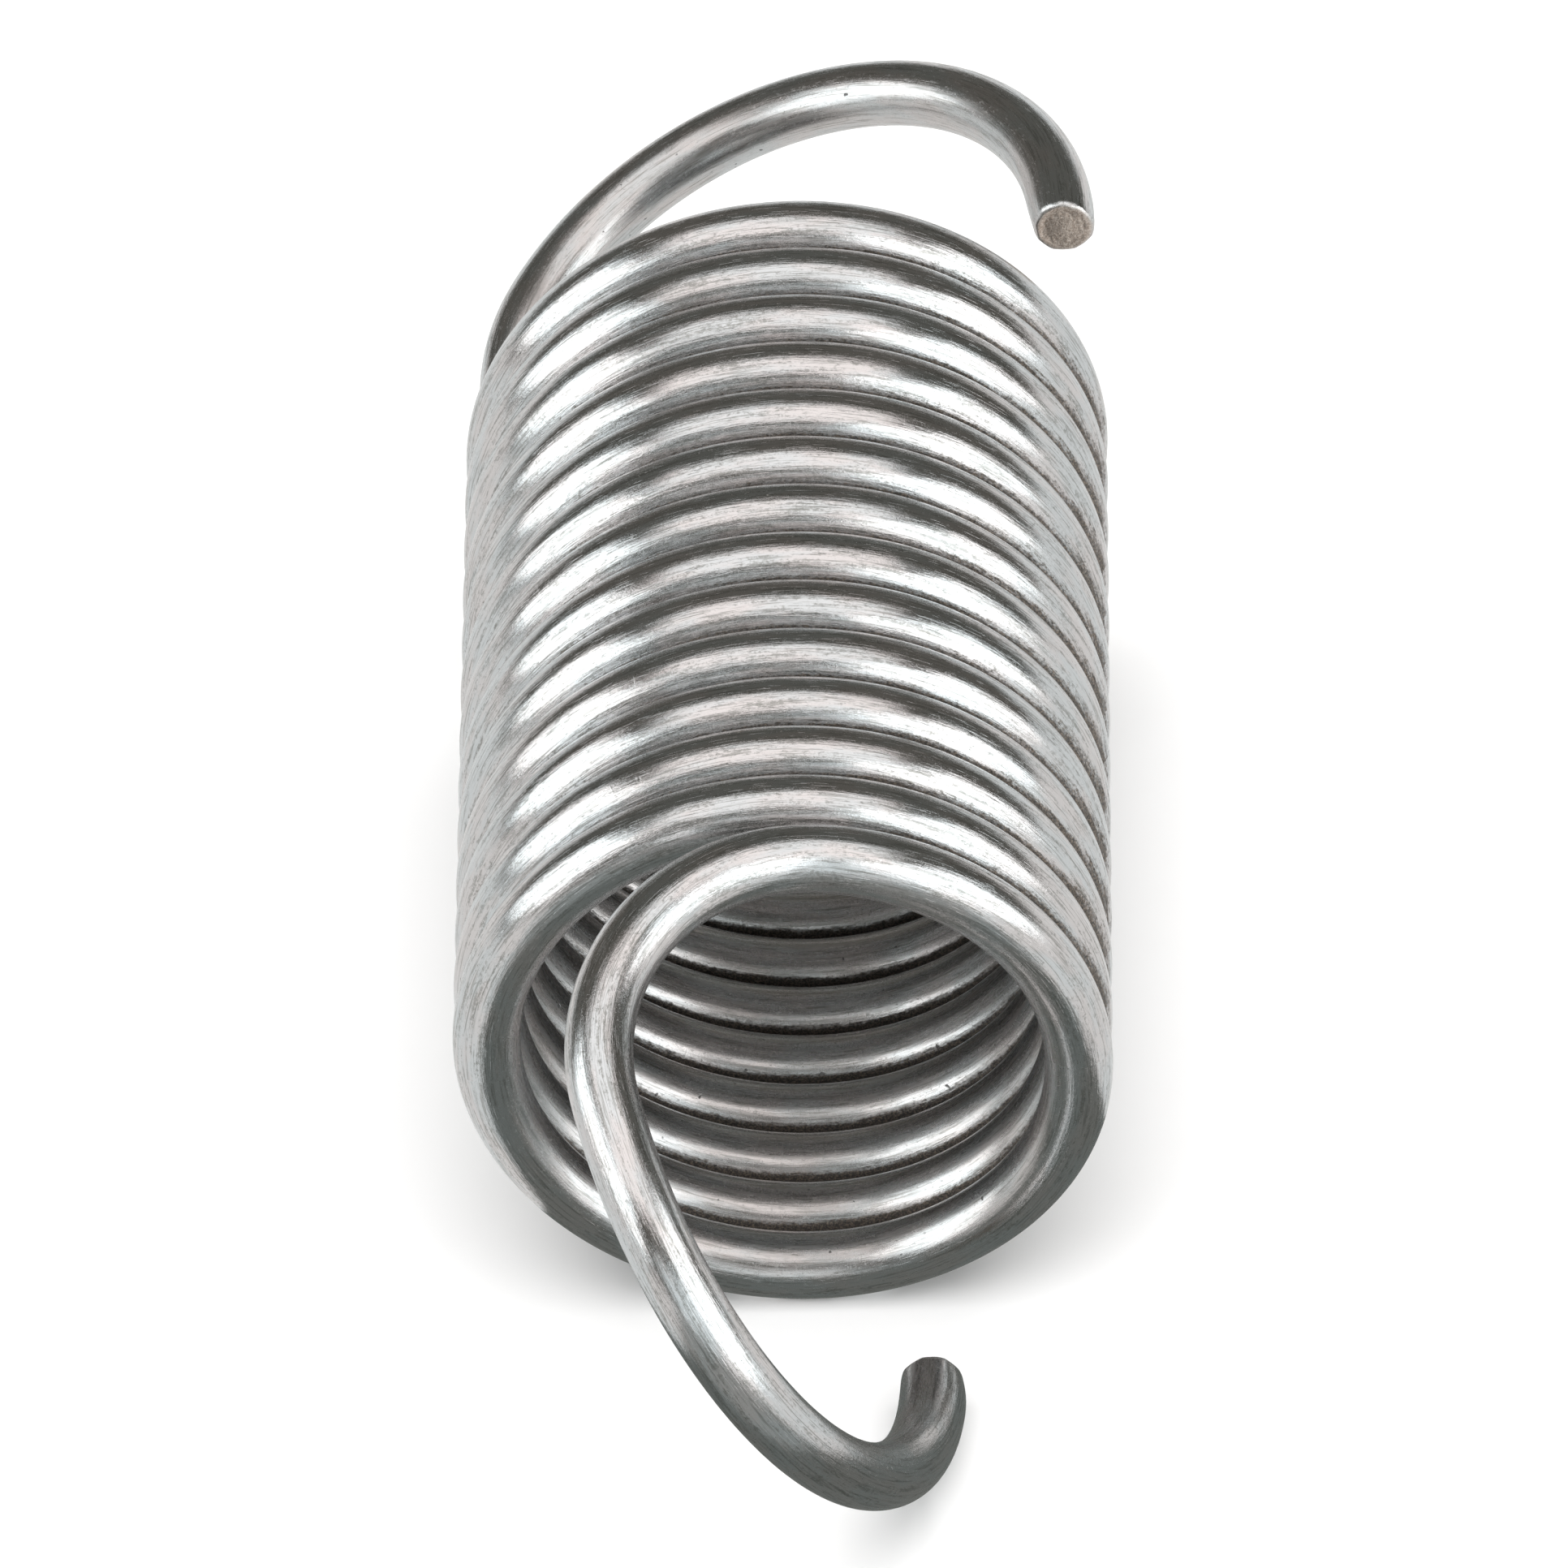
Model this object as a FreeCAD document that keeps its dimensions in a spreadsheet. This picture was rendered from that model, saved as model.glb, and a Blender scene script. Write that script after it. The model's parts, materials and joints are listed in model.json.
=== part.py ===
import FreeCAD, Part
import os

# Close-wound extension spring with an open hook at each end, bent from one length of round wire.
#
# Frame: millimetres, +Z up. The spring lies on its side: its axis runs along Y, the front hook
# points to -Y and the rear hook to +Y. The origin is on the surface that the coil rests on,
# halfway along the coil.
#
# The wire is modelled the way it flexes. Each turn is two half turns, split where the wire passes
# the left and right side of the coil. A half turn is a flat half ring, tilted about the upright
# line through its own end by half_turn_tilt, so that it climbs half a pitch. At every split the
# wire runs straight up or down, so neighbours share a round face and can only turn on each other
# about that line: this is the twist of the wire that lets the coil open.

doc = FreeCAD.newDocument("extension_spring")

HALF_TURN = 180

# ---------------------------------------------------------------- driving dimensions

# alias, value, meaning. Lengths are in millimetres, angles in degrees.
DIMENSIONS = (
    ("wire_diameter", 2.0, "round spring wire"),
    ("coil_outer_diameter", 19.3, "across the coil"),
    ("coil_gap", 0.1, "clear space between neighbouring turns"),
    ("turn_count", 13, "whole turns between the two hooks' own pieces of coil"),
    ("front_coil_angle", 75.4, "coil left on the front hook's piece; its cut end steadies the spring"),
    ("rear_coil_angle", 119.0, "coil left on the rear hook's piece"),
    ("neck_radius", 6.7, "centre line of the bend that turns the wire out of the coil"),
    ("neck_angle", 104.2, "how far that bend turns"),
    ("neck_roll", 69.0, "its plane, turned about the wire from the coil's own plane"),
    ("loop_radius", 9.35, "centre line of the open loop"),
    ("loop_angle", 152.3, "how far the loop turns"),
    ("loop_roll", -50.4, "its plane, turned about the wire from the neck's plane"),
    ("end_chamfer", 0.12, "broken edge round each cut end"),
)

sizes = doc.addObject("Spreadsheet::Sheet", "Sizes")
for row, (alias, value, meaning) in enumerate(DIMENSIONS, start=1):
    sizes.set(f"A{row}", alias)
    sizes.set(f"B{row}", str(value))
    sizes.setAlias(f"B{row}", alias)
    sizes.set(f"C{row}", meaning)

# Sizes worked out from the driving ones. atan gives an angle, so it is kept as plain degrees.
DERIVED = (
    ("wire_radius", "=wire_diameter / 2"),
    ("coil_radius", "=(coil_outer_diameter - wire_diameter) / 2"),
    ("pitch", "=wire_diameter + coil_gap"),
    ("half_turn_rise", "=pitch / 2"),
    ("half_turn_radius", "=sqrt(coil_radius ^ 2 + (half_turn_rise / 2) ^ 2)"),
    ("half_turn_tilt", "=atan(half_turn_rise / 2 / coil_radius) / 1 deg"),
    ("axis_height", "=half_turn_radius + wire_radius"),
    ("whole_turns", "=floor(turn_count)"),
    ("coil_run", "=whole_turns * pitch"),
    ("front_coil_rise", "=half_turn_rise / 2 * (1 - cos(front_coil_angle * 1 deg))"),
    ("rear_coil_rise", "=half_turn_rise / 2 * (1 - cos(rear_coil_angle * 1 deg))"),
    ("coil_start", "=(rear_coil_rise - coil_run - front_coil_rise) / 2"),
)
for row, (alias, formula) in enumerate(DERIVED, start=len(DIMENSIONS) + 2):
    sizes.set(f"A{row}", alias)
    sizes.set(f"B{row}", formula)
    sizes.setAlias(f"B{row}", alias)
doc.recompute()

# ---------------------------------------------------------------- pieces of wire

# The coil's own frame: its x points right, its y up and its z forward along the spring's axis.
COIL_FRAME = "placement(vector(0; 0; Sizes.axis_height); rotationx(90))"


def bend(label, radius, angle, placement):
    """One round bend of the wire: part of a torus. It starts at x = radius, where the wire runs
    along its y, and turns about its z."""
    torus = doc.addObject("Part::Torus", label)
    torus.Label = label
    torus.setExpression("Radius1", f"{radius} * 1 mm")
    torus.setExpression("Radius2", "Sizes.wire_radius * 1 mm")
    torus.setExpression("Angle3", f"{angle} * 1 deg")
    torus.setExpression("Placement", placement)
    return torus


def coil_bend(label, angle, split, flip=0):
    """A bend of the coil's own wire, from the split with this number. Splits are counted from the
    rear, and the even ones are on the right side. flip is 180 for a piece that runs to the rear."""
    along = f"vector(0; 0; Sizes.coil_start + {split} * Sizes.half_turn_rise)"
    steps = (
        COIL_FRAME,
        f"placement({along}; rotationz({HALF_TURN * split}))",
        f"placement(vector(Sizes.coil_radius; 0; 0); rotationx({flip}))",
        "placement(vector(0; 0; 0); rotationy(Sizes.half_turn_tilt))",
        "placement(vector(0 - Sizes.half_turn_radius; 0; 0); rotationx(0))",
    )
    return bend(label, "Sizes.half_turn_radius", angle, " * ".join(steps))


def next_bend(label, before, radius, angle, roll):
    """The bend that follows another: it starts on the other's end face, with its plane turned
    about the wire by roll."""
    steps = (
        f"{before.Name}.Placement",
        f"placement(vector(0; 0; 0); rotationz({before.Name}.Angle3))",
        f"placement(vector({before.Name}.Radius1; 0; 0); rotationy({roll}))",
        f"placement(vector(0 - {radius}; 0; 0); rotationx(0))",
    )
    return bend(label, radius, angle, " * ".join(steps))


def cut_end(bent):
    """The number of the round edge at the far end of the last bend, in the joined wire's shape."""
    last = bent.Shapes[-1]
    turned = FreeCAD.Rotation(FreeCAD.Vector(0, 0, 1), last.Angle3)
    centre = last.Placement * turned.multVec(FreeCAD.Vector(last.Radius1, 0, 0))
    distances = [edge.CenterOfMass.distanceToPoint(centre) for edge in bent.Shape.Edges]
    return distances.index(min(distances)) + 1


def hook(label, coil_angle, split, flip):
    """One hook: the last of the coil's wire, the neck that turns out of the coil and the open
    loop, joined into one piece of wire with its cut end's edge broken."""
    coil_end = coil_bend(f"{label}_coil_end", f"Sizes.{coil_angle}", split, flip)
    neck = next_bend(f"{label}_neck", coil_end, "Sizes.neck_radius", "Sizes.neck_angle", "Sizes.neck_roll")
    loop = next_bend(f"{label}_loop", neck, "Sizes.loop_radius", "Sizes.loop_angle", "Sizes.loop_roll")
    bent = doc.addObject("Part::MultiFuse", f"{label}_wire")
    bent.Shapes = [coil_end, neck, loop]
    doc.recompute()
    piece = doc.addObject("Part::Chamfer", label)
    piece.Label = label
    piece.Base = bent
    broken_edge = sizes.end_chamfer
    piece.Edges = [(cut_end(bent), broken_edge, broken_edge)]
    return piece


# ---------------------------------------------------------------- the spring, from rear to front

whole_turns = int(sizes.whole_turns)
pieces = [hook("rear_hook", "rear_coil_angle", split=0, flip=HALF_TURN)]
for turn in range(whole_turns):
    for split, half in ((2 * turn, "upper"), (2 * turn + 1, "lower")):
        pieces.append(coil_bend(f"turn_{turn + 1:02d}_{half}", str(HALF_TURN), split))
pieces.append(hook("front_hook", "front_coil_angle", split=2 * whole_turns, flip=0))
doc.recompute()

# ---------------------------------------------------------------- check and write

for made in doc.Objects:
    if "Invalid" in made.State or "Error" in made.State:
        raise RuntimeError(f"{made.Label} did not compute: {made.State}")
for piece in pieces:
    if piece.Shape.isNull() or not piece.Shape.isValid() or len(piece.Shape.Solids) != 1:
        raise RuntimeError(f"{piece.Label} is not one sound solid")

os.makedirs("parts", exist_ok=True)
for piece in pieces:
    piece.Shape.exportStep(f"parts/{piece.Label}.step")
spring_box = FreeCAD.BoundBox()
for piece in pieces:
    spring_box.add(piece.Shape.BoundBox)
print(f"{len(pieces)} pieces, {spring_box}")
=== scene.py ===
"""Looks of a close-wound extension spring: drawn steel wire, bent to 26 half turns and two hooks.

Every piece of wire is worked out on a grid of two parameters, the way along the wire and the way
round it, and rides on the body that it stands for. Lengths are in metres, in the CAD frame: the
spring lies along Y, the front hook points to -Y, and the floor is at z = 0.
"""

import json
import math

import bpy
import numpy as np
from mathutils import Matrix, Vector


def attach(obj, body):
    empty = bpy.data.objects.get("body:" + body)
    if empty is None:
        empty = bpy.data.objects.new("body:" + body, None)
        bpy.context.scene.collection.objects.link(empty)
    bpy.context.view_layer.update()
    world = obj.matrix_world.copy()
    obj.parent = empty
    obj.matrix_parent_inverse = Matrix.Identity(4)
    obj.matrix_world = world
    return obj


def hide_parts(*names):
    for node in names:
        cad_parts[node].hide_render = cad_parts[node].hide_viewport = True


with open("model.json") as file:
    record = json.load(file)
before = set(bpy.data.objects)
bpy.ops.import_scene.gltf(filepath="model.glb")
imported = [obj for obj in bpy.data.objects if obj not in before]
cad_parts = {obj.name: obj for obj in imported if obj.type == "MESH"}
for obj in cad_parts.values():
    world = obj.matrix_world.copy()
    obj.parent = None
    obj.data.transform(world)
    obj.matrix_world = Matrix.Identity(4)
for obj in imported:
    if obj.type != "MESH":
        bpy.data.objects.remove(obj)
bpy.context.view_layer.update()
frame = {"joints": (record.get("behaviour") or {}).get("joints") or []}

MM = 0.001
TURN = 2 * math.pi
HALF_TURN = TURN / 2
QUARTER_TURN = TURN / 4

# ---------------------------------------------------------------- sizes

# Each hinge sits on a split between two half turns. They are put in order from the rear.
splits = sorted((Vector(joint["pos_m"]) for joint in frame["joints"]), key=lambda at: -at.y)
COIL_RADIUS = abs(splits[0].x)
AXIS_HEIGHT = splits[0].z
HALF_TURN_RISE = splits[0].y - splits[1].y
HALF_TURN_RADIUS = math.hypot(COIL_RADIUS, HALF_TURN_RISE / 2)
HALF_TURN_TILT = math.atan2(HALF_TURN_RISE / 2, COIL_RADIUS)
HALF_TURN_RUN = HALF_TURN_RADIUS * HALF_TURN
WIRE_RADIUS = AXIS_HEIGHT - HALF_TURN_RADIUS

# How far each hook's first bend carries the coil on, then the two bends that both hooks share:
# radius, angle, and how far the bend's plane turns about the wire.
FRONT_COIL_ANGLE = math.radians(75.4)
REAR_COIL_ANGLE = math.radians(119.0)
NECK = (6.7 * MM, math.radians(104.2), math.radians(69.0))
LOOP = (9.35 * MM, math.radians(152.3), math.radians(-50.4))

# The side where the cutter pressed on each hook's end, as an angle round the wire, and the seed of
# the grains on that end's face.
REAR_CUT = (math.radians(200), 5)
FRONT_CUT = (math.radians(40), 11)

RING_STEP = 0.25 * MM
POINTS_ROUND = 72

# Waves in the wire's surface: share of the depth, waves round the wire, drift in radians for each
# millimetre along it, and start. The shares of the die lines add up to 2, and so do the swells'.
DIE_LINES = ((1.0, 5, 0.031, 0.0), (0.6, 11, -0.017, 1.0), (0.4, 17, 0.043, 2.2))
DIE_LINE_DEPTH = 0.004 * MM
SWELLS = ((1.0, 2, 0.35, 0.0), (1.0, -1, 0.83, 0.0))
SWELL_DEPTH = 0.006 * MM

# a sheared end
SQUEEZE_LENGTH = 1.5 * MM
SQUEEZE_DEPTH = 0.16 * MM
FACET_DEPTH = 0.025 * MM
FACET_TURNS = 4.5
FACET_START = 0.7
FACE_RINGS = 18
RIM_SHARE = 0.18
ROLL_OVER = 0.14 * MM
GRAIN_DEPTH = 0.05 * MM
SLOPE_DEPTH = 0.08 * MM

# Grime where turns touch, together with painted shade that darkens the gaps between them: how
# strong it is on the wire's front and rear side, the least power of its fall away from the
# neighbour, what the top of the coil and the inside of it add to that power, how far it reaches past
# the outermost line on the rear side, and the blur of its ends in degrees.
FRONT_GRIME_AND_SHADE = 1.1
REAR_GRIME_AND_SHADE = 0.56
FRONT_POWER = 0.6
REAR_POWER = 0.9
TOP_POWER = 7.0
INSIDE_POWER = 5.0
REAR_REACH = 0.5
GRIME_AND_SHADE_BLUR = 14.0

# Ranges of degrees along a piece in which a neighbour touches it. A hook lifts off its neighbour
# shortly before its first bend ends.
FAR = 1000.0
ALWAYS = (-FAR, FAR)
NEVER = (FAR, 2 * FAR)
NEIGHBOUR_OF_REAR = (180 - math.degrees(REAR_COIL_ANGLE), FAR)
NEIGHBOUR_OF_FRONT = (-FAR, math.degrees(FRONT_COIL_ANGLE))
HOOK_LIFT = 8

# ---------------------------------------------------------------- wire


def shift(x, y, z):
    """A move by (x, y, z)."""
    return np.array(Matrix.Translation((x, y, z)))


def turn(angle, axis):
    """A turn about a coordinate axis through the origin."""
    return np.array(Matrix.Rotation(angle, 4, axis))


def coil_bend(split, angle, flip=0.0):
    """A bend of the coil that starts at the split with this number: its frame, radius, angle and
    roll. flip is half a turn for a piece that runs to the rear."""
    place = (
        shift(0, splits[split].y, AXIS_HEIGHT)
        @ turn(QUARTER_TURN, "X")
        @ turn(HALF_TURN * split, "Z")
        @ shift(COIL_RADIUS, 0, 0)
        @ turn(flip, "X")
        @ turn(HALF_TURN_TILT, "Y")
        @ shift(-HALF_TURN_RADIUS, 0, 0)
    )
    return place, HALF_TURN_RADIUS, angle, 0.0


def next_bend(before, size):
    """The bend that follows another. size is its radius, its angle and its roll, by which its plane
    is turned about the wire."""
    place, radius, angle, _ = before
    new_radius, new_angle, roll = size
    turned = place @ turn(angle, "Z") @ shift(radius, 0, 0) @ turn(roll, "Y")
    return turned @ shift(-new_radius, 0, 0), new_radius, new_angle, roll


def rings_along(bends):
    """The rings of a wire made of bends, and one more ring beyond each end. In a bend's frame the
    wire's middle at angle t is radius * (cos t, sin t, 0), outward is (cos t, sin t, 0) and ahead is
    (-sin t, cos t, 0). The zero line round the wire is outward on the first bend and is carried on
    without a twist. Returns the middles, the zero arrows, the arrows a quarter turn on, the arrows
    ahead and the run so far, one row for each ring."""
    rows, run, rolled = [], 0.0, 0.0
    for number, (place, radius, angle, roll) in enumerate(bends):
        count = round(radius * angle / RING_STEP)
        first = 1 if number else -1
        last = count + 1 if place is bends[-1][0] else count
        t = np.arange(first, last + 1) * angle / count
        out = np.stack([np.cos(t), np.sin(t), 0 * t], 1) @ place[:3, :3].T
        ahead = np.stack([-np.sin(t), np.cos(t), 0 * t], 1) @ place[:3, :3].T
        flat = np.broadcast_to(place[:3, 2], out.shape)
        rolled += roll
        zero = math.cos(rolled) * out + math.sin(rolled) * flat
        quarter = math.cos(rolled) * flat - math.sin(rolled) * out
        rows.append((place[:3, 3] + radius * out, zero, quarter, ahead, run + radius * t))
        run += radius * angle
    return [np.concatenate(column) for column in zip(*rows)]


def waves(kinds, along, around):
    """A sum of sines of (count * angle round the wire + drift * millimetres along it + start), each
    times its share, moved and scaled to run from 0 to 1, as the shares add up to 2."""
    total = sum(
        share * np.sin(count * around + drift * (along / MM) + start)
        for share, count, drift, start in kinds
    )
    return (2 + total) / 4


def wire_radius_at(along, around):
    """The wire's radius: the full radius less shallow die lines, which are waves round the wire that
    drift slowly along it, and less a slow swell. It never stands above the full radius."""
    dips = DIE_LINE_DEPTH * waves(DIE_LINES, along, around)
    return WIRE_RADIUS - dips - SWELL_DEPTH * waves(SWELLS, along, around)


def rise(value, low, high):
    """0 below low, 1 above high, and 3 s^2 - 2 s^3 between them."""
    share = np.clip((value - low) / (high - low), 0, 1)
    return share * share * (3 - 2 * share)


def grime_and_shade_at(turned, around, height, front, rear):
    """How much grime, with painted shade, a neighbour leaves where turns touch, from the degrees
    along the coil, the angle round the wire and the height of the wire's middle above the coil's
    axis. The painted shade darkens the gaps between turns. On the front side it is a power of the
    sine of the angle round the wire. That power is largest at the top of the coil and falls to its
    least at the height of the axis, so the dark band by each gap is widest from the axis down. On
    the rear side it is a power of how far that sine lies below the reach. Both powers are higher
    inside the coil. front and rear are the ranges of degrees along the coil in which each side has a
    neighbour."""
    sine = np.sin(around)
    inner = INSIDE_POWER * np.clip(-np.cos(around), 0, 1)
    top = np.clip(height / COIL_RADIUS, 0, 1)[:, None] ** 1.5
    beside_front, beside_rear = (
        rise(turned, low - GRIME_AND_SHADE_BLUR, low + GRIME_AND_SHADE_BLUR)
        * (1 - rise(turned, high - GRIME_AND_SHADE_BLUR, high + GRIME_AND_SHADE_BLUR))
        for low, high in (front, rear)
    )
    power = FRONT_POWER + TOP_POWER * top + inner
    ahead = FRONT_GRIME_AND_SHADE * beside_front[:, None] * np.clip(sine, 0, 1) ** power
    below = np.clip((REAR_REACH - sine) / (REAR_REACH + 1), 0, 1)
    behind = REAR_GRIME_AND_SHADE * beside_rear[:, None] * below ** (REAR_POWER + inner)
    return np.maximum(ahead, behind)


def sheared_end(points, middle, ahead, run, grime_and_shade, angle, pressed, seed):
    """Adds the cut face to a wire's end. The last stretch of wire is squeezed by the square of the
    way into that stretch, times a power of the cosine from the side where the cutter pressed, and
    flattened by facets, which are a sine round the wire. Over the face, share goes from 0 at the rim
    to 1 in the middle. The rim rolls over in a quarter round, the face falls away towards the
    pressed side, and random grains roughen it. All of it stays within the full wire. Returns the
    points and each ring's share, run, and grime with painted shade."""
    chance = np.random.default_rng(seed)
    toward = np.cos(angle - pressed)[None]
    late = np.clip(1 - (run[-1] - run) / SQUEEZE_LENGTH, 0, 1)[:, None] ** 2
    facets = FACET_DEPTH * np.abs(np.sin(FACET_TURNS * angle + FACET_START))[None]
    squeeze = late * (SQUEEZE_DEPTH * np.clip(toward, 0, 1) ** 1.5 + facets)
    spokes = points - middle[:, None]
    points = points - (squeeze / WIRE_RADIUS)[..., None] * spokes

    share = np.linspace(0, 1, FACE_RINGS)[:-1, None]
    rolled = ROLL_OVER * (1 - np.sqrt(1 - (1 - np.clip(share / RIM_SHARE, 0, 1)) ** 2))
    grains = np.abs(chance.normal(size=(FACE_RINGS - 1, POINTS_ROUND)))
    grains = (grains + np.roll(grains, 1, 1) + np.roll(grains, -1, 1)) / 3
    inner = np.clip(share / (2 * RIM_SHARE), 0, 1) * (1 - share)
    depth = rolled + inner * (GRAIN_DEPTH * grains + SLOPE_DEPTH * (1 + toward))
    rim = points[-1] - middle[-1]
    face = middle[-1] + (1 - share[..., None]) * rim - depth[..., None] * ahead[-1]

    side = run < run[-1] - ROLL_OVER
    points = np.concatenate([points[side], face])
    grime_and_shade = np.pad(grime_and_shade[side], ((0, len(share)), (0, 0)))
    end_run = np.full(len(share), run[-1])
    run = np.concatenate([run[side], end_run])
    share = np.concatenate([np.zeros(side.sum()), share[:, 0]])
    return points, share, run, grime_and_shade


def grid_lean(points):
    """The arrows that stand on a grid of rings: the step along the wire crossed with the step round
    it, made one long."""
    across = np.roll(points, -1, 1) - np.roll(points, 1, 1)
    lean = np.cross(np.gradient(points, axis=0), across)
    return lean / np.linalg.norm(lean, axis=-1, keepdims=True)


def wire_faces(rings):
    """The faces of a closed wire with this many rings: one for each step of the grid, then a fan
    about the middle of each end. The two middles come after the grid's points."""
    ring = np.arange(POINTS_ROUND)
    after = (ring + 1) % POINTS_ROUND
    row = POINTS_ROUND * np.arange(rings - 1)[:, None]
    ahead = row + POINTS_ROUND
    sides = np.stack([row + ring, ahead + ring, ahead + after, row + after], -1).reshape(-1, 4)
    last = POINTS_ROUND * (rings - 1)
    first_middle = last + POINTS_ROUND
    start_fan = np.stack([0 * ring + first_middle, ring, after], -1)
    end_fan = np.stack([0 * ring + first_middle + 1, last + after, last + ring], -1)
    return sides, start_fan, end_fan


def strip_layers(along, around, share, grime_and_shade):
    """What the material reads at each point, with the two middles last. wire is the cosine and sine
    of the angle round the wire, which shrink to 0 over a cut face, and the millimetres along it.
    The grime layer holds grime together with painted shade where turns touch. cut rises from 0 at
    the rim of a cut face to 1."""
    along = (along / MM)[:, None] + 0 * around
    spread = 1 - share[:, None]
    wire = np.stack([spread * np.cos(around), spread * np.sin(around), along], -1).reshape(-1, 3)
    middles = [[0, 0, along[0, 0]], [0, 0, along[-1, 0]]]
    on_face = np.repeat(rise(share, 0, RIM_SHARE), POINTS_ROUND)
    return (
        ("wire", "FLOAT_VECTOR", "vector", np.concatenate([wire, middles])),
        ("grime_and_shade", "FLOAT", "value", np.append(grime_and_shade.ravel(), [0, 0])),
        ("cut", "FLOAT", "value", np.append(on_face, [0, 1])),
    )


def wire_piece(name, bends, start_run, sense, front, rear, cut=None):
    """A closed piece of wire, put in place of the CAD node with its name. A point of its side is
    middle + radius * (cos(angle) * zero arrow + sin(angle) * quarter arrow). sense is -1 where the
    piece runs to the rear, so that the way along and the way round carry on from the coil. front and
    rear are the ranges of degrees in which a neighbour touches it. On a hook, cut is the side where
    the cutter pressed and the seed of the grains on the face."""
    middle, zero, quarter, ahead, run = rings_along(bends)
    angle = np.arange(POINTS_ROUND) * TURN / POINTS_ROUND
    around = sense * angle
    radius = wire_radius_at((start_run + sense * run)[:, None], around[None])[..., None]
    cos, sin = np.cos(angle)[None, :, None], np.sin(angle)[None, :, None]
    points = middle[:, None] + radius * (cos * zero[:, None] + sin * quarter[:, None])
    height = middle[:, 2] - AXIS_HEIGHT
    grime_and_shade = grime_and_shade_at(np.degrees(run / HALF_TURN_RADIUS), around[None], height, front, rear)
    share = np.zeros(len(run))
    start_arrow, end_arrow = -ahead[1], ahead[-2]
    if cut:
        wire = [rows[:-1] for rows in (points, middle, ahead, run, grime_and_shade)]
        points, share, run, grime_and_shade = sheared_end(*wire, angle, *cut)

    # the extra rings beyond the ends only serve the lean of the rings beside them
    lean = grid_lean(points)
    kept = slice(1, None if cut else -1)
    points, lean, run, share, grime_and_shade = [rows[kept] for rows in (points, lean, run, share, grime_and_shade)]

    sides, start_fan, end_fan = wire_faces(len(points))
    middles = [points[0].mean(0), points[-1].mean(0)]
    vertices = np.concatenate([points.reshape(-1, 3), middles])
    mesh = bpy.data.meshes.new(f"{name}_wire")
    mesh.from_pydata(vertices.tolist(), [], sides.tolist() + start_fan.tolist() + end_fan.tolist())
    for label, kind, key, values in strip_layers(start_run + sense * run, around, share, grime_and_shade):
        layer = mesh.attributes.new(label, kind, "POINT")
        layer.data.foreach_set(key, values.astype(np.float32).ravel())

    # each corner's arrow: the grid's own lean on the side, straight out on a flat round end
    arrows = np.concatenate([lean.reshape(-1, 3), [start_arrow, end_arrow]])
    arrows = arrows[np.concatenate([sides.ravel(), start_fan.ravel(), end_fan.ravel()])]
    start_corners, end_corners = np.split(arrows[sides.size:], 2)
    start_corners[:] = start_arrow
    if not cut:
        end_corners[:] = end_arrow
    mesh.shade_smooth()
    mesh.normals_split_custom_set(arrows.tolist())
    mesh.materials.append(spring_wire)
    piece = bpy.data.objects.new(f"{name}_wire", mesh)
    bpy.context.scene.collection.objects.link(piece)
    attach(piece, name)
    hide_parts(name)


# ---------------------------------------------------------------- shader maths


class Signal:
    """A node's output. Arithmetic on it adds Math nodes."""

    def __init__(self, finish, socket):
        self.finish = finish
        self.socket = socket

    def math(self, operation, *values):
        return self.finish.node("ShaderNodeMath", {"operation": operation}, dict(enumerate(values)))

    def __add__(self, other):
        return self.math("ADD", self, other)

    def __sub__(self, other):
        return self.math("SUBTRACT", self, other)

    def __rsub__(self, other):
        return self.math("SUBTRACT", other, self)

    def __mul__(self, other):
        return self.math("MULTIPLY", self, other)

    __radd__ = __add__
    __rmul__ = __mul__

    def least(self, other):
        return self.math("MINIMUM", self, other)

    def most(self, other):
        return self.math("MAXIMUM", self, other)

    def step(self, low, high):
        """0 below low, 1 above high and a smooth rise between them."""
        inputs = {"Value": self, "From Min": low, "From Max": high}
        settings = {"interpolation_type": "SMOOTHSTEP"}
        return self.finish.node("ShaderNodeMapRange", settings, inputs)


class Finish:
    """One material and its nodes."""

    def __init__(self, name):
        self.material = bpy.data.materials.new(name)
        self.material.use_nodes = True
        self.tree = self.material.node_tree
        self.tree.nodes.clear()

    def node(self, kind, settings, inputs, output=0):
        """A node of this kind: first its settings, then its inputs, which are values or signals and
        are named by their socket's identifier or place. Returns the output as a signal."""
        made = self.tree.nodes.new(kind)
        for key, value in settings.items():
            setattr(made, key, value)
        sockets = {socket.identifier: socket for socket in made.inputs}
        for key, value in inputs.items():
            socket = made.inputs[key] if isinstance(key, int) else sockets[key]
            if isinstance(value, Signal):
                self.tree.links.new(value.socket, socket)
            else:
                socket.default_value = value
        outputs = {socket.identifier: socket for socket in made.outputs}
        return Signal(self, made.outputs[output] if isinstance(output, int) else outputs[output])

    def shown(self, shader):
        """The material, with this shader as its surface."""
        output = self.tree.nodes.new("ShaderNodeOutputMaterial")
        self.tree.links.new(shader.socket, output.inputs["Surface"])
        return self.material

    def attribute(self, name, output):
        return self.node("ShaderNodeAttribute", {"attribute_name": name}, {}, output)

    def scaled(self, vector, factors):
        return self.node("ShaderNodeVectorMath", {"operation": "MULTIPLY"}, {0: vector, 1: factors})

    def noise(self, vector, factors, detail=2.0, rough=0.5, warp=0.0):
        """Noise over a space stretched by these factors. Its values lie about 0.5."""
        inputs = {"Vector": self.scaled(vector, factors), "Scale": 1.0, "Detail": detail}
        inputs.update({"Roughness": rough, "Distortion": warp})
        return self.node("ShaderNodeTexNoise", {}, inputs)

    def mix(self, factor, first, second):
        """One colour into another."""
        inputs = {"Factor_Float": factor, "A_Color": first, "B_Color": second}
        return self.node("ShaderNodeMix", {"data_type": "RGBA"}, inputs, "Result_Color")


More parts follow.
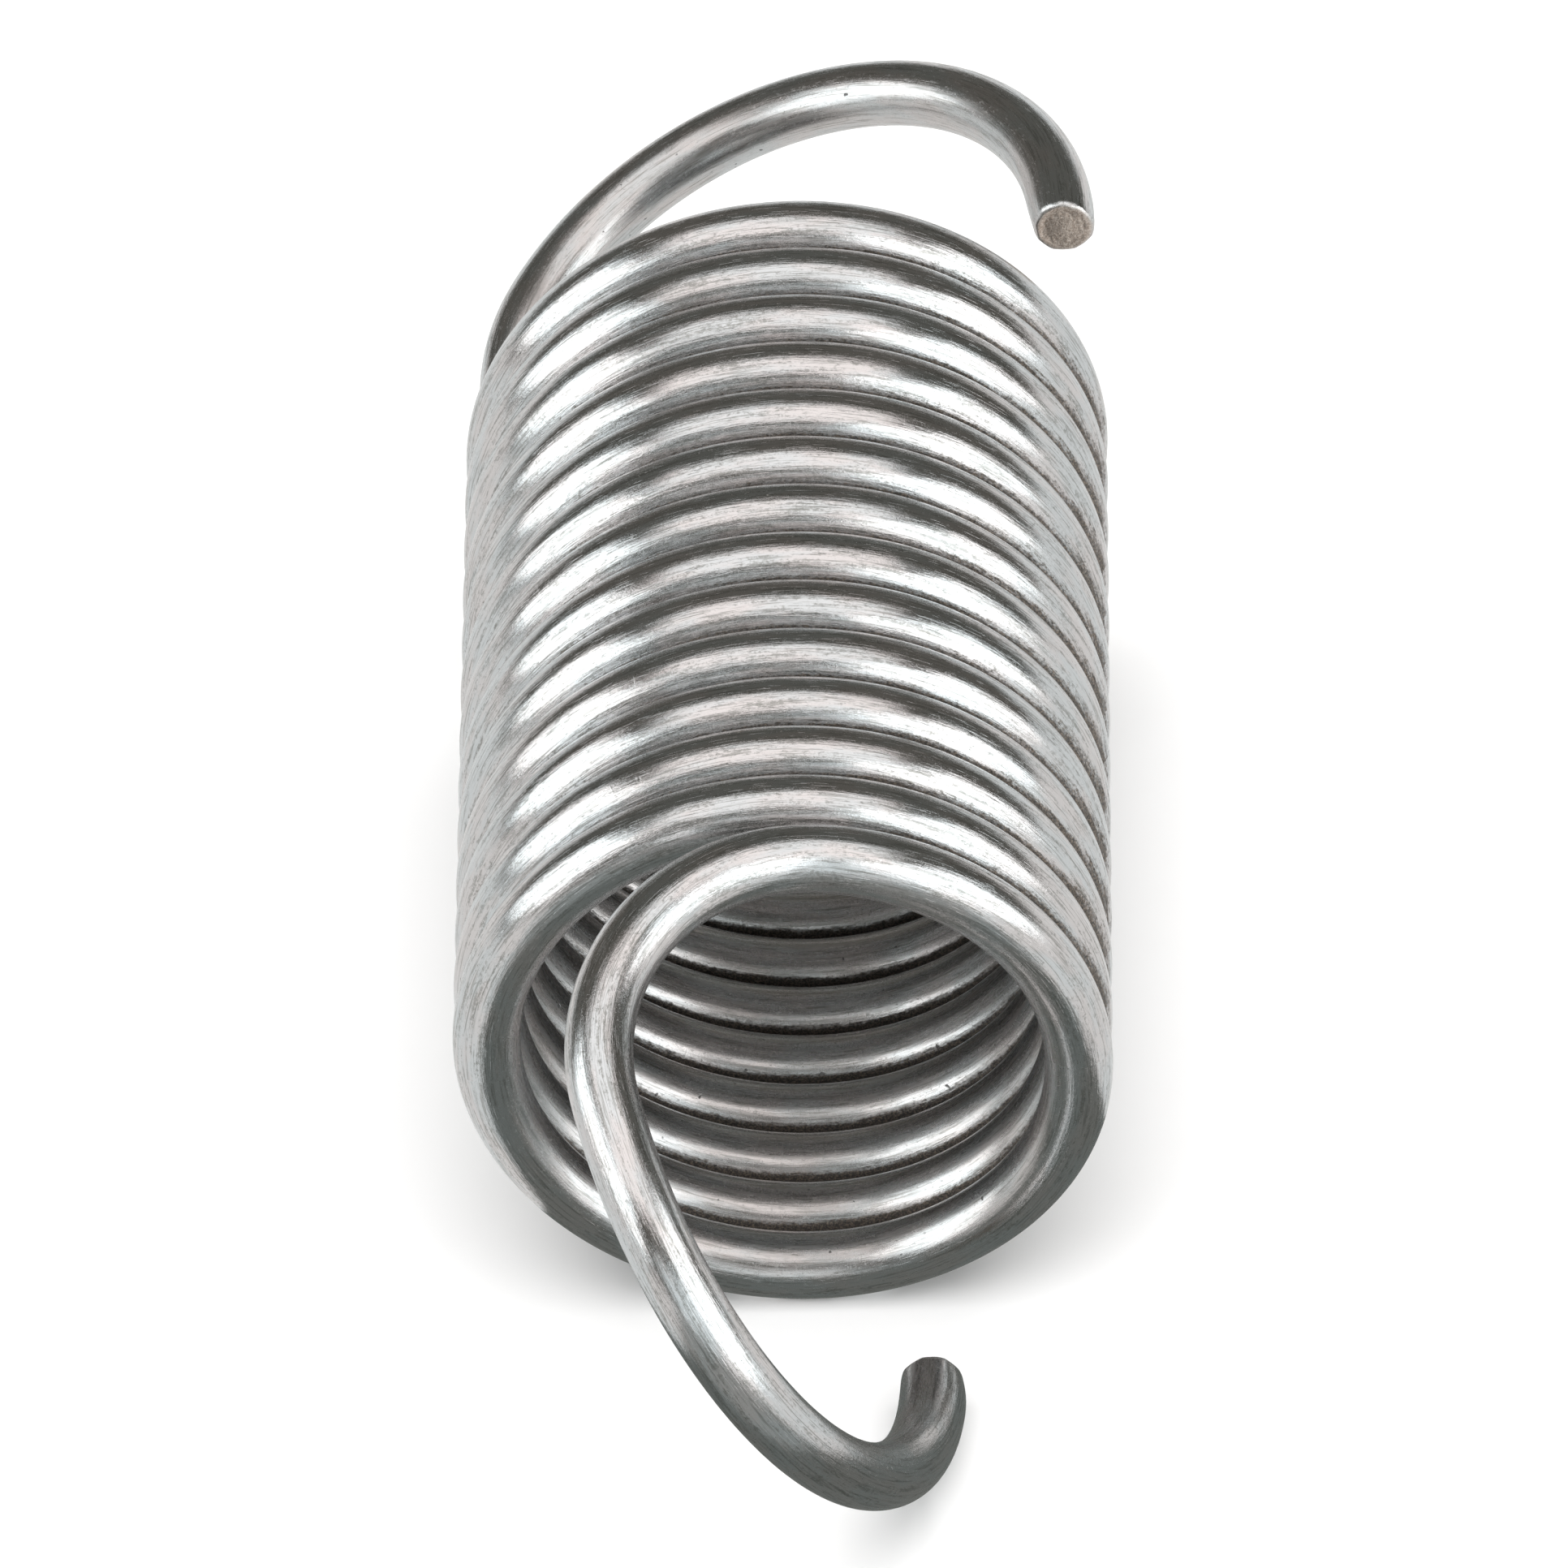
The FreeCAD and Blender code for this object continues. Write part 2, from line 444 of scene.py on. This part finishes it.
def parts_of(finish, vector):
    """The three numbers of a vector as signals."""
    return [finish.node("ShaderNodeSeparateXYZ", {}, {"Vector": vector}, axis) for axis in range(3)]


def drawn_steel():
    """Bright drawn spring steel: lines along the wire from the die, short marks across it from the
    coiling rolls, dull grime with painted shade where turns touch, painted shade that darkens the
    inside of the coil towards brown, fine pits and a faint uneven tint."""
    finish = Finish("spring_wire")
    wire = finish.attribute("wire", "Vector")
    grime_and_shade = finish.attribute("grime_and_shade", "Fac")
    cut = finish.attribute("cut", "Fac")
    outward, forward, _ = parts_of(finish, wire)

    hair_lines = finish.noise(wire, (15, 15, 0.55), 3.0, 0.75)
    streaks = finish.noise(wire, (6.5, 6.5, 0.42), 4.0, 0.72, 0.1)
    flutes = finish.noise(wire, (2.8, 2.8, 0.09), 2.0, 0.5)
    scratches = finish.noise(wire, (26, 26, 1.0), 1.0).step(0.63, 0.70)
    roll_marks = finish.noise(wire, (1.6, 1.6, 13), 2.0).step(0.62, 0.78)
    roll_marks = roll_marks * finish.noise(wire, (1.1, 1.1, 0.35), 1.0).step(0.56, 0.68)
    blotches = finish.noise(wire, (1.3, 1.3, 0.35), 3.0, 0.6)
    mottle = finish.noise(wire, (10, 10, 5.5), 4.0, 0.85)
    spots = finish.noise(wire, (3.1, 3.1, 2.9), 1.0).step(0.755, 0.785)
    grain = finish.noise(wire, (20, 20, 16), 3.0, 0.7)

    # grime and painted shade: sure in the gaps between turns, broken into streaks and specks on the
    # way there
    inside = (0.0 - outward).step(-0.1, 0.9)
    ragged = (mottle - 0.5) * 1.7 + (streaks - 0.5) * 1.4
    clean_edge = forward.step(0.0, 0.5) * 0.7
    dirt_and_shade = (grime_and_shade + ragged * (1.0 - inside.most(clean_edge) * 0.85)).step(0.48, 0.78)
    stain = (streaks + (mottle - 0.5) * 0.9).step(0.52, 0.68) * (1.0 - inside * 0.85)
    pits = spots * inside

    cool = (0.64, 0.665, 0.675, 1.0)
    warm = (0.68, 0.655, 0.65, 1.0)
    dull = (0.25, 0.255, 0.235, 1.0)
    shade_and_grime_brown = (0.19, 0.15, 0.115, 1.0)
    black = (0.025, 0.022, 0.018, 1.0)
    shear_brown = (0.42, 0.33, 0.27, 1.0)
    shear_bright = (0.80, 0.72, 0.65, 1.0)
    colour = finish.mix(blotches.step(0.38, 0.62), cool, warm)
    colour = finish.mix(stain * 0.66, colour, dull)
    colour = finish.mix(hair_lines.step(0.52, 0.64) * 0.60, colour, dull)
    # painted shade: the inside of the coil is darkened a little towards brown
    colour = finish.mix(inside * 0.17, colour, shade_and_grime_brown)
    # painted shade and grime: the gaps between turns darkened towards black and brown
    colour = finish.mix(dirt_and_shade * 0.94, colour, finish.mix(grain.step(0.42, 0.66), black, shade_and_grime_brown))
    colour = finish.mix(pits * 0.6, colour, black)
    colour = finish.mix(cut, colour, finish.mix(grain.step(0.3, 0.7), shear_brown, shear_bright))

    rough = 0.08 + streaks.step(0.35, 0.7) * 0.10 + hair_lines * 0.05 + roll_marks * 0.12
    rough = rough + inside * 0.12 + mottle.step(0.56, 0.64) * 0.22
    rough = (rough + dirt_and_shade * 0.25 + pits * 0.4 + cut * 0.30).least(0.9)
    metal = 1.0 - dirt_and_shade * 0.5

    height = hair_lines * 0.6 + streaks * 1.4 + flutes * 2.0 + scratches * -0.35 + roll_marks * 0.25
    height = height + mottle * 0.9
    height = height * (1.0 - inside * 0.7) + pits * -1.2 + dirt_and_shade * grain * 0.8 + cut * grain * 2.5
    bump = finish.node(
        "ShaderNodeBump", {}, {"Strength": 0.8, "Distance": 0.008 * MM, "Height": height}, "Normal"
    )
    inputs = {"Base Color": colour, "Metallic": metal, "Roughness": rough, "Normal": bump}
    shader = finish.node("ShaderNodeBsdfPrincipled", {}, inputs)
    return finish.shown(shader)


spring_wire = drawn_steel()

# ---------------------------------------------------------------- the spring, from rear to front

half_turns = len(splits) - 1
for split in range(half_turns):
    half = "lower" if split % 2 else "upper"
    front = {half_turns - 2: NEIGHBOUR_OF_FRONT, half_turns - 1: NEVER}.get(split, ALWAYS)
    rear = {0: NEVER, 1: NEIGHBOUR_OF_REAR}.get(split, ALWAYS)
    bends = [coil_bend(split, HALF_TURN)]
    wire_piece(f"turn_{split // 2 + 1:02d}_{half}", bends, split * HALF_TURN_RUN, 1, front, rear)

for name, split, flip, coil_angle, sense, cut in (
    ("rear_hook", 0, HALF_TURN, REAR_COIL_ANGLE, -1, REAR_CUT),
    ("front_hook", half_turns, 0, FRONT_COIL_ANGLE, 1, FRONT_CUT),
):
    coil_end = coil_bend(split, coil_angle, flip)
    neck = next_bend(coil_end, NECK)
    loop = next_bend(neck, LOOP)
    beside = (-FAR, math.degrees(coil_angle) - HOOK_LIFT)
    front, rear = (NEVER, beside) if sense > 0 else (beside, NEVER)
    wire_piece(name, [coil_end, neck, loop], split * HALF_TURN_RUN, sense, front, rear, cut)

# ---------------------------------------------------------------- floor, light and camera

CENTRE = Vector((0, 0, AXIS_HEIGHT))

# All the lights lean together about the spring's length.
RIG_LEAN = math.radians(5.8)
LIGHT_DISTANCE = 0.7
FILL_DISTANCE = 1.6

# From the middle to the edge of the floor and of the largest card, and the space between cards,
# which lie one over the other with the darkest on top.
FLOOR_REACH = 3.0
CARD_REACH = 2.0
CARD_STEP = 0.1 * MM

# Glowing cards, in millimetres, that only the reflections show: the dark one is the spring's painted
# shadow on the floor under and in front of it, the half-dark one a stretch of floor further in
# front.
SHADOW_PATCH = (
    (-7.5, 15), (-8, -8), (-10, -15), (-13, -23), (-15, -36),
    (16, -36), (18, -24), (15, -13), (8.5, -6), (7.5, 15),
)
FAR_PATCH = ((-15, -30), (-45, -80), (-260, -600), (130, -600), (36, -80), (16, -30))

PALE = (0.86, 0.86, 0.86, 1)
LIGHT_GREY = (0.85, 0.85, 0.84, 1)
MID_GREY = (0.33, 0.345, 0.335, 1)
SHADOW_GREY = (0.16, 0.17, 0.16, 1)
DIM_ROOM = (0.12, 0.117, 0.105, 1)
COOL_LIGHT = (0.97, 0.99, 1.0)
COOLER_LIGHT = (0.93, 0.98, 1.0)
WARM_LIGHT = (1.0, 0.965, 0.96)
WHITE_LIGHT = (1.0, 1.0, 1.0)


def arrow_out(azimuth, elevation):
    """The arrow out of the spring at an azimuth from -Y towards +X and an elevation, in radians."""
    level = math.cos(elevation)
    return Vector((math.sin(azimuth) * level, -math.cos(azimuth) * level, math.sin(elevation)))


def pale_surface(name, colour, roughness):
    """A plain dull surface."""
    finish = Finish(name)
    inputs = {"Base Color": colour, "Roughness": roughness}
    return finish.shown(finish.node("ShaderNodeBsdfPrincipled", {}, inputs))


def board(name, corners, height, material):
    """A flat board that lies level and isn't part of the spring."""
    mesh = bpy.data.meshes.new(name)
    mesh.from_pydata([(x, y, height) for x, y in corners], [], [tuple(range(len(corners)))])
    mesh.materials.append(material)
    made = bpy.data.objects.new(name, mesh)
    bpy.context.scene.collection.objects.link(made)
    return made


def card(name, corners, height, colour):
    """A glowing card on the floor, no lamp, that only the metal's reflections show: a painted
    reflection.
    """
    finish = Finish(name)
    glow = finish.shown(finish.node("ShaderNodeEmission", {}, {"Color": colour}))
    made = board(name, corners, height, glow)
    made.visible_camera = False
    made.visible_diffuse = False
    made.visible_shadow = False


def square(reach):
    return [(x * reach, y * reach) for x, y in ((-1, -1), (1, -1), (1, 1), (-1, 1))]


def in_metres(corners):
    return [(x * MM, y * MM) for x, y in corners]


def softbox(name, azimuth, elevation, width, height, radiance, colour, distance=LIGHT_DISTANCE):
    """A soft light that looks at the spring, from an azimuth and an elevation in degrees, with its
    width level. A square metre with a radiance of 1 gives pi watts to each side of its normal."""
    azimuth, elevation = math.radians(azimuth), math.radians(elevation)
    back = arrow_out(azimuth, elevation)
    across = Vector((math.cos(azimuth), math.sin(azimuth), 0))
    lean = Matrix.Rotation(RIG_LEAN, 3, "Y")
    axes = lean @ Matrix((across, back.cross(across), back)).transposed()
    light = bpy.data.lights.new(name, "AREA")
    light.shape = "RECTANGLE"
    light.size, light.size_y = width, height
    light.energy = radiance * width * height * math.pi
    light.color = colour
    lamp = bpy.data.objects.new(name, light)
    lamp.matrix_world = Matrix.Translation(CENTRE + distance * axes.col[2]) @ axes.to_4x4()
    bpy.context.scene.collection.objects.link(lamp)
    return lamp


floor = board("floor", square(FLOOR_REACH), 0, pale_surface("pale_board", PALE, 0.7))
floor.visible_glossy = False
# painted reflections: the grey card is the lit floor as the metal reflects it, the dark card the
# spring's painted shadow on it, and the mid grey card a half-dark stretch of floor in front
card("grey_card", square(CARD_REACH), CARD_STEP, LIGHT_GREY)
card("painted_shadow_card", in_metres(SHADOW_PATCH), 3 * CARD_STEP, SHADOW_GREY)
card("far_card", in_metres(FAR_PATCH), 2 * CARD_STEP, MID_GREY)

softbox("right_softbox", 58, 22, 0.80, 0.56, 2.15, COOL_LIGHT)
softbox("left_softbox", -72, 21, 0.84, 0.50, 2.15, COOL_LIGHT)
softbox("top_panel", 0, 76, 1.0, 0.80, 1.15, WARM_LIGHT)
softbox("front_panel", 2, 14, 0.56, 0.36, 0.85, COOLER_LIGHT)
fill = softbox("fill", 0, 90, 2.4, 2.4, 2.0, WHITE_LIGHT, FILL_DISTANCE)
fill.visible_glossy = False

world = bpy.data.worlds.new("room")
world.use_nodes = True
world.node_tree.nodes["Background"].inputs["Color"].default_value = DIM_ROOM
bpy.context.scene.world = world
bpy.context.scene.view_settings.view_transform = "Standard"

VIEW_AZIMUTH = math.radians(5.36)
VIEW_ELEVATION = math.radians(42.48)
VIEW_ROLL = math.radians(-7.49)
VIEW_DISTANCE = 0.6368
AIM_RIGHT, AIM_UP = -0.03 * MM, -1.21 * MM
FOCAL_LENGTH = 493.2
SENSOR_WIDTH = 36.0

lens = bpy.data.cameras.new("camera")
lens.lens, lens.sensor_width = FOCAL_LENGTH, SENSOR_WIDTH
lens.clip_start, lens.clip_end = 0.01, 20.0
camera = bpy.data.objects.new("camera", lens)
ahead = -arrow_out(VIEW_AZIMUTH, VIEW_ELEVATION)
stance = ahead.to_track_quat("-Z", "Y").to_matrix() @ Matrix.Rotation(VIEW_ROLL, 3, "Z")
place = CENTRE + stance @ Vector((AIM_RIGHT, AIM_UP, VIEW_DISTANCE))
camera.matrix_world = Matrix.Translation(place) @ stance.to_4x4()
bpy.context.scene.collection.objects.link(camera)
bpy.context.scene.camera = camera
